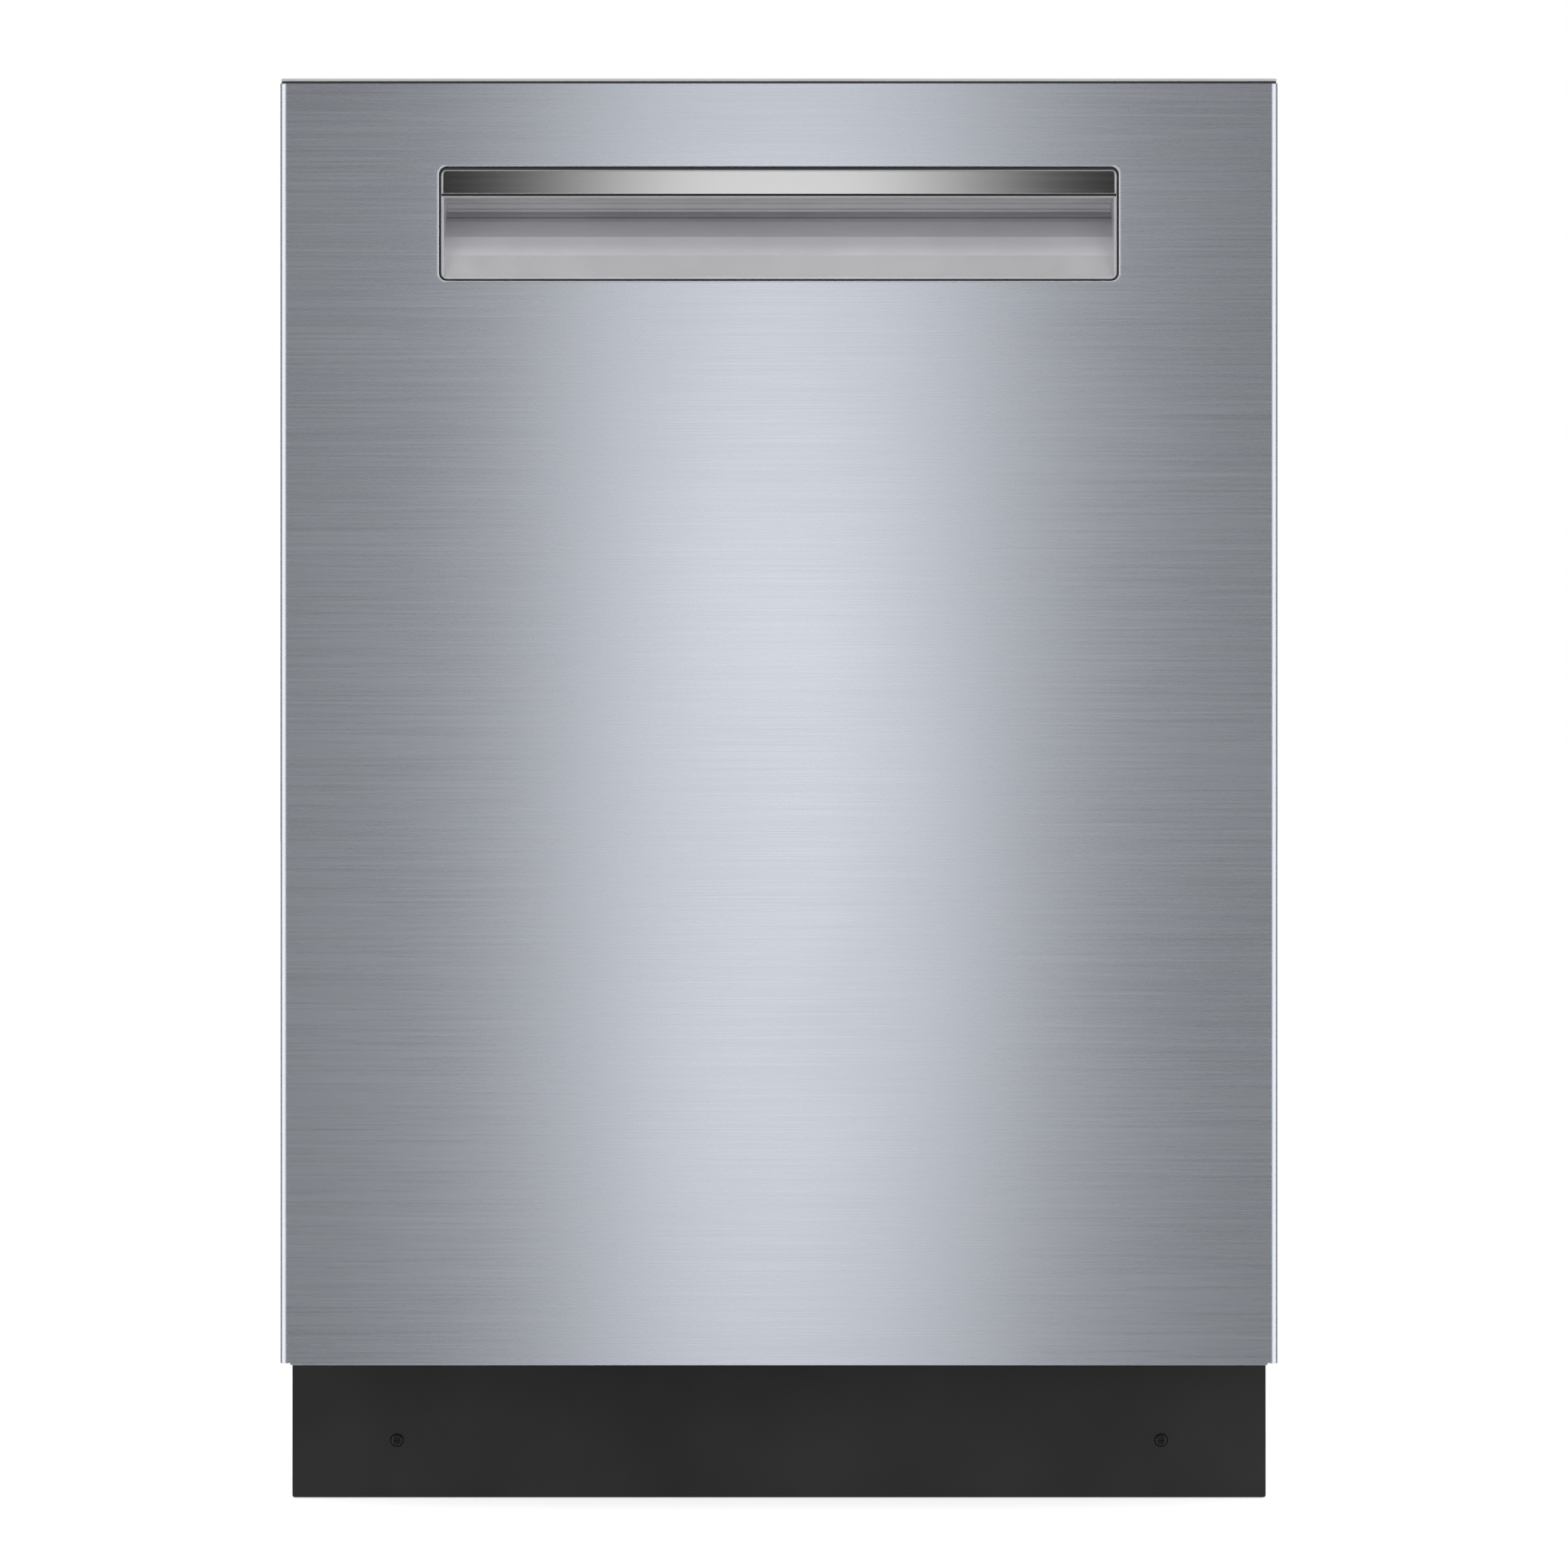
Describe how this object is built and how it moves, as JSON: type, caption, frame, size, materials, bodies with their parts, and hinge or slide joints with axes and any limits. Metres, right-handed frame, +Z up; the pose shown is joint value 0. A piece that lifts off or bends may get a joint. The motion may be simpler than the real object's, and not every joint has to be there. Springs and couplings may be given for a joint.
{
  "type": "built in dishwasher",
  "caption": "Built-in dishwasher with a brushed steel pocket-handle door on bottom hinges, top controls, pull-out wire racks, spray arms and a black recessed toe kick.",
  "frame": {"origin": "on the floor, under the middle of the closed machine's bounding box", "axes": "+X to the right seen from the front, +Y to the back, +Z up; the door faces -Y"},
  "size_m": [0.598, 0.603, 0.86],
  "materials": {
    "steel_door": "horizontally brushed",
    "steel_sheet": "satin",
    "grip_metal": "satin",
    "pocket_plastic": "fine moulded texture",
    "fascia_plastic": "fine moulded texture",
    "dark_plastic": "fine moulded texture",
    "grey_plastic": "satin",
    "light_plastic": "satin",
    "board": "solder mask",
    "display": "polished",
    "seal_rubber": "matt",
    "felt": "felted",
    "bitumen": "matt",
    "kick_black": "matt black",
    "zinc_steel": "zinc plated",
    "coated_wire": "nylon coated",
    "pump_plastic": "satin"
  },
  "bodies": {
    "cabinet": {"tub": "steel_sheet", "door_gasket": "seal_rubber", "insulation_blanket": "felt", "base_frame": "dark_plastic", "toe_kick": "kick_black", "toe_kick_screws": "zinc_steel", "hinge_brackets": "zinc_steel", "door_springs": "zinc_steel", "sump_housing": "pump_plastic", "filter_plate": "steel_sheet", "circulation_pump": "pump_plastic", "drain_pump": "pump_plastic", "internal_hoses": "seal_rubber", "water_connections": "light_plastic", "cable_gland": "dark_plastic", "junction_box": "zinc_steel", "feed_tube": "grey_plastic", "tub_rails": "steel_sheet", "latch_strike": "zinc_steel", "countertop_brackets": "zinc_steel"},
    "door": {"door_outer_panel": "steel_door", "handle_pocket": "pocket_plastic", "handle_grip_bar": "grip_metal", "control_fascia": "fascia_plastic", "control_boards": "board", "display_window": "display", "door_inner_liner": "steel_sheet", "door_insulation": "bitumen", "detergent_dispenser": "grey_plastic", "latch_housing": "dark_plastic", "hinge_arms": "zinc_steel", "door_bottom_seal": "seal_rubber"},
    "lower_rack": {"lower_basket": "coated_wire", "lower_rack_clips": "grey_plastic", "cutlery_basket": "grey_plastic"},
    "upper_rack": {"upper_basket": "coated_wire", "upper_manifold": "grey_plastic"},
    "third_rack": {"third_basket": "coated_wire"},
    "power_button_body": {"power_button": "light_plastic"},
    "program_button_body": {"program_button": "light_plastic"},
    "options_button_body": {"options_button": "light_plastic"},
    "start_button_body": {"start_button": "light_plastic"},
    "dispenser_lid_body": {"dispenser_lid": "light_plastic"},
    "rinse_aid_cap_body": {"rinse_aid_cap": "light_plastic"},
    "latch_pawl_body": {"latch_pawl": "light_plastic"},
    "foot_front_left_body": {"foot_front_left": "dark_plastic"},
    "foot_front_right_body": {"foot_front_right": "dark_plastic"},
    "foot_rear_left_body": {"foot_rear_left": "dark_plastic"},
    "foot_rear_right_body": {"foot_rear_right": "dark_plastic"},
    "filter_cylinder_body": {"filter_cylinder": "grey_plastic"},
    "lower_spray_arm_body": {"lower_spray_arm": "grey_plastic"},
    "wheels_front_body": {"wheels_front": "grey_plastic"},
    "wheels_middle_body": {"wheels_middle": "grey_plastic"},
    "wheels_rear_body": {"wheels_rear": "grey_plastic"},
    "tine_row_middle_body": {"tine_row_middle": "coated_wire"},
    "tine_row_right_body": {"tine_row_right": "coated_wire"},
    "upper_slides_body": {"upper_slides": "steel_sheet"},
    "upper_spray_arm_body": {"upper_spray_arm": "grey_plastic"},
    "cup_shelf_left_body": {"cup_shelf_left": "coated_wire"},
    "cup_shelf_right_body": {"cup_shelf_right": "coated_wire"}
  },
  "joints": [
    {"name": "door_hinge", "type": "hinge", "parent": "cabinet", "child": "door", "pos_m": [0, -0.2765, 0.12], "axis": [1, 0, 0], "range_deg": [0, 90], "stiffness_Nm_per_rad": 24, "deforming": ["door_springs"]},
    {"name": "lower_rack_slide", "type": "slide", "parent": "cabinet", "child": "lower_rack", "axis": [0, -1, 0], "range_m": [0, 0.5]},
    {"name": "upper_slides_run", "type": "slide", "parent": "cabinet", "child": "upper_slides_body", "axis": [0, -1, 0], "range_m": [0, 0.211]},
    {"name": "upper_rack_slide", "type": "slide", "parent": "cabinet", "child": "upper_rack", "axis": [0, -1, 0], "range_m": [0, 0.422]},
    {"name": "third_rack_slide", "type": "slide", "parent": "cabinet", "child": "third_rack", "axis": [0, -1, 0], "range_m": [0, 0.402]},
    {"name": "wheels_front_roll", "type": "hinge", "parent": "lower_rack", "child": "wheels_front_body", "pos_m": [0, -0.128, 0.1753], "axis": [1, 0, 0], "range_deg": [0, 1700]},
    {"name": "wheels_middle_roll", "type": "hinge", "parent": "lower_rack", "child": "wheels_middle_body", "pos_m": [0, 0.03, 0.1753], "axis": [1, 0, 0], "range_deg": [0, 1700]},
    {"name": "wheels_rear_roll", "type": "hinge", "parent": "lower_rack", "child": "wheels_rear_body", "pos_m": [0, 0.188, 0.1753], "axis": [1, 0, 0], "range_deg": [0, 1700]},
    {"name": "tine_row_middle_fold", "type": "hinge", "parent": "lower_rack", "child": "tine_row_middle_body", "pos_m": [0, 0.024, 0.1902], "axis": [0, 1, 0], "range_deg": [0, 85]},
    {"name": "tine_row_right_fold", "type": "hinge", "parent": "lower_rack", "child": "tine_row_right_body", "pos_m": [0.08, 0.024, 0.1902], "axis": [0, 1, 0], "range_deg": [0, 85]},
    {"name": "lower_spray_spin", "type": "hinge", "parent": "cabinet", "child": "lower_spray_arm_body", "pos_m": [0, 0.02, 0.16], "axis": [0, 0, 1], "continuous": true},
    {"name": "upper_spray_spin", "type": "hinge", "parent": "upper_rack", "child": "upper_spray_arm_body", "pos_m": [0, 0.02, 0.45], "axis": [0, 0, 1], "continuous": true},
    {"name": "filter_turn", "type": "hinge", "parent": "cabinet", "child": "filter_cylinder_body", "pos_m": [0.085, 0.075, 0.09], "axis": [0, 0, 1], "range_deg": [0, 90]},
    {"name": "cup_shelf_left_fold", "type": "hinge", "parent": "upper_rack", "child": "cup_shelf_left_body", "pos_m": [-0.224, 0, 0.545], "axis": [0, -1, 0], "range_deg": [0, 85]},
    {"name": "cup_shelf_right_fold", "type": "hinge", "parent": "upper_rack", "child": "cup_shelf_right_body", "pos_m": [0.224, 0, 0.545], "axis": [0, 1, 0], "range_deg": [0, 85]},
    {"name": "dispenser_lid_slide", "type": "slide", "parent": "door", "child": "dispenser_lid_body", "axis": [1, 0, 0], "range_m": [0, 0.062]},
    {"name": "rinse_aid_cap_flip", "type": "hinge", "parent": "door", "child": "rinse_aid_cap_body", "pos_m": [0.035, -0.2411, 0.4113], "axis": [-1, 0, 0], "range_deg": [0, 90]},
    {"name": "latch_pawl_press", "type": "hinge", "parent": "door", "child": "latch_pawl_body", "pos_m": [0, -0.266, 0.848], "axis": [-1, 0, 0], "range_deg": [0, 12], "stiffness_Nm_per_rad": 0.35},
    {"name": "power_button_press", "type": "slide", "parent": "door", "child": "power_button_body", "axis": [0, 0, -1], "range_m": [0, 0.001], "stiffness_N_per_m": 900},
    {"name": "program_button_press", "type": "slide", "parent": "door", "child": "program_button_body", "axis": [0, 0, -1], "range_m": [0, 0.001], "stiffness_N_per_m": 900},
    {"name": "options_button_press", "type": "slide", "parent": "door", "child": "options_button_body", "axis": [0, 0, -1], "range_m": [0, 0.001], "stiffness_N_per_m": 900},
    {"name": "start_button_press", "type": "slide", "parent": "door", "child": "start_button_body", "axis": [0, 0, -1], "range_m": [0, 0.001], "stiffness_N_per_m": 900},
    {"name": "foot_front_left_level", "type": "slide", "parent": "cabinet", "child": "foot_front_left_body", "axis": [0, 0, -1], "range_m": [0, 0.028]},
    {"name": "foot_front_right_level", "type": "slide", "parent": "cabinet", "child": "foot_front_right_body", "axis": [0, 0, -1], "range_m": [0, 0.028]},
    {"name": "foot_rear_left_level", "type": "slide", "parent": "cabinet", "child": "foot_rear_left_body", "axis": [0, 0, -1], "range_m": [0, 0.028]},
    {"name": "foot_rear_right_level", "type": "slide", "parent": "cabinet", "child": "foot_rear_right_body", "axis": [0, 0, -1], "range_m": [0, 0.028]}
  ],
  "couplings": [
    {"joint": "lower_rack_slide", "follows": "door_hinge", "m_per_rad": 0.13},
    {"joint": "upper_slides_run", "follows": "door_hinge", "m_per_rad": 0.1335},
    {"joint": "upper_rack_slide", "follows": "door_hinge", "m_per_rad": 0.267},
    {"joint": "third_rack_slide", "follows": "door_hinge", "m_per_rad": 0.255},
    {"joint": "wheels_front_roll", "follows": "door_hinge", "ratio": 7.6471},
    {"joint": "wheels_middle_roll", "follows": "door_hinge", "ratio": 7.6471},
    {"joint": "wheels_rear_roll", "follows": "door_hinge", "ratio": 7.6471}
  ]
}
